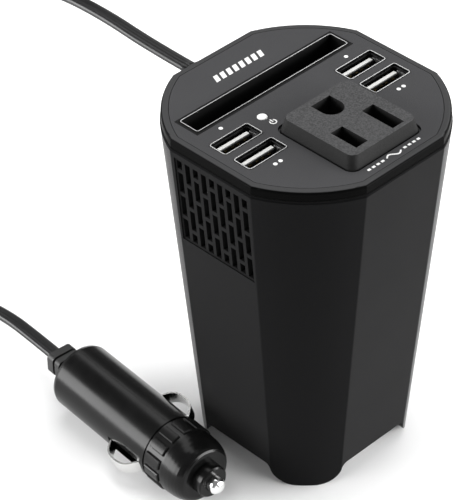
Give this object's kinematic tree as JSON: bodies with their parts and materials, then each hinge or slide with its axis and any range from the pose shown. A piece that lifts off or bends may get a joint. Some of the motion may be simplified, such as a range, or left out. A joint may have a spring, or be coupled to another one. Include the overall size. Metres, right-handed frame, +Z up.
{
  "type": "power inverter",
  "caption": "Cup-shaped car power inverter with a grounded AC outlet, charging ports, phone slot, side vents, internal fan and a twin lead to a 12 V plug.",
  "frame": {"origin": "centre of the body's footprint on the plane that its four feet stand on", "axes": "+Z up along the body, +Y towards the back where the lead leaves, -Y towards the side with the AC outlet, +X to the right when facing the outlet side from the front"},
  "size_m": [0.1013, 0.2167, 0.1138],
  "materials": {
    "shell_black": "satin moulded",
    "bezel_black": "satin",
    "face_black": "fine texture",
    "liner_black": "smooth",
    "base_black": "fine texture",
    "outlet_black": "fine texture",
    "outlet_back_black": "smooth",
    "screw_steel": "plated",
    "shaft_steel": "ground",
    "bearing_brass": "sintered",
    "fan_black": "smooth",
    "rotor_black": "smooth",
    "contact_brass": "pressed",
    "led_white": "diffuse",
    "board_green": "solder mask",
    "connector_white": "smooth",
    "ferrite": "ground",
    "winding_tape": "tape",
    "bobbin_black": "smooth",
    "capacitor_sleeve": "shrink sleeve",
    "choke_green": "enamelled wire",
    "chip_black": "moulded",
    "heat_sink_aluminium": "extruded",
    "wire_red": "insulation",
    "wire_white": "insulation",
    "relief_rubber": "moulded",
    "cord_rubber": "satin",
    "plug_gloss": "polished",
    "ring_gloss": "polished",
    "contact_nickel": "nickel plated",
    "fuse_glass": "clear",
    "spring_steel": "drawn wire",
    "contact_gold": "gold plated",
    "usb_steel": "folded sheet",
    "usb_black": "moulded"
  },
  "bodies": {
    "housing": {"outer_shell": "shell_black", "top_cap": "bezel_black", "face_plate": "face_black", "phone_slot_liner": "liner_black", "base_plate": "base_black", "base_screws": "screw_steel", "fan_frame": "fan_black", "fan_bearing": "bearing_brass", "fan_screws": "screw_steel", "ac_outlet_housing": "outlet_black", "ac_outlet_back": "outlet_back_black", "hot_contact": "contact_brass", "neutral_contact": "contact_brass", "ground_contact": "contact_brass", "led_lens": "led_white", "port_board": "board_green", "port_board_screws": "screw_steel", "main_board": "board_green", "board_connector": "connector_white", "transformer_core": "ferrite", "transformer_winding": "winding_tape", "transformer_bobbin": "bobbin_black", "bulk_capacitor": "capacitor_sleeve", "input_capacitors": "capacitor_sleeve", "filter_choke": "choke_green", "control_chips": "chip_black", "heat_sink": "heat_sink_aluminium", "power_transistors": "chip_black", "input_wires": "wire_red", "outlet_wires": "wire_white", "cord_strain_relief": "relief_rubber", "power_cord": "cord_rubber", "plug_barrel": "plug_gloss", "plug_strain_relief": "relief_rubber", "plug_rear_terminal": "contact_brass", "usb_contact_pins": "contact_gold", "usb_shell_left_rear": "usb_steel", "usb_insert_left_rear": "usb_black", "usb_shell_left_front": "usb_steel", "usb_insert_left_front": "usb_black", "usb_shell_right_rear": "usb_steel", "usb_insert_right_rear": "usb_black", "usb_shell_right_front": "usb_steel", "usb_insert_right_front": "usb_black"},
    "fan": {"fan_rotor": "rotor_black", "fan_shaft": "shaft_steel"},
    "plug_nose": {"plug_nose_cone": "plug_gloss"},
    "plug_ring": {"plug_locking_ring": "ring_gloss"},
    "plug_tip": {"plug_tip_pin": "contact_nickel", "plug_fuse_tube": "fuse_glass", "plug_fuse_caps": "contact_nickel", "plug_fuse_wire": "contact_nickel", "plug_contact_spring": "spring_steel"},
    "plug_contact_left": {"plug_side_contact_left": "contact_nickel"},
    "plug_contact_right": {"plug_side_contact_right": "contact_nickel"}
  },
  "joints": [
    {"name": "fan_spin", "type": "hinge", "parent": "housing", "child": "fan", "pos_m": [0, 0, 0.016], "axis": [0, 0, 1], "continuous": true},
    {"name": "nose_slide", "type": "slide", "parent": "housing", "child": "plug_nose", "axis": [-0.0785, -0.9969, 0], "range_m": [0, 0.003]},
    {"name": "ring_turn", "type": "hinge", "parent": "plug_nose", "child": "plug_ring", "pos_m": [-0.04435, 0.00594, 0.0104], "axis": [-0.0785, -0.9969, 0], "range_deg": [0, 1081]},
    {"name": "tip_press", "type": "slide", "parent": "plug_nose", "child": "plug_tip", "axis": [0.0785, 0.9969, 0], "range_m": [0, 0.003], "stiffness_N_per_m": 1200, "springref_m": -0.001},
    {"name": "left_contact_press", "type": "hinge", "parent": "housing", "child": "plug_contact_left", "pos_m": [-0.04897, 0.02476, 0.00842], "axis": [-0.3081, 0.0242, 0.9511], "range_deg": [0, 20], "stiffness_Nm_per_rad": 0.08, "springref_deg": -4.58},
    {"name": "right_contact_press", "type": "hinge", "parent": "housing", "child": "plug_contact_right", "pos_m": [-0.03683, 0.0238, 0.01238], "axis": [0.3081, -0.0242, -0.9511], "range_deg": [0, 20], "stiffness_Nm_per_rad": 0.08, "springref_deg": -4.58}
  ],
  "couplings": [
    {"joint": "ring_turn", "follows": "nose_slide", "rad_per_m": 6283.2}
  ]
}
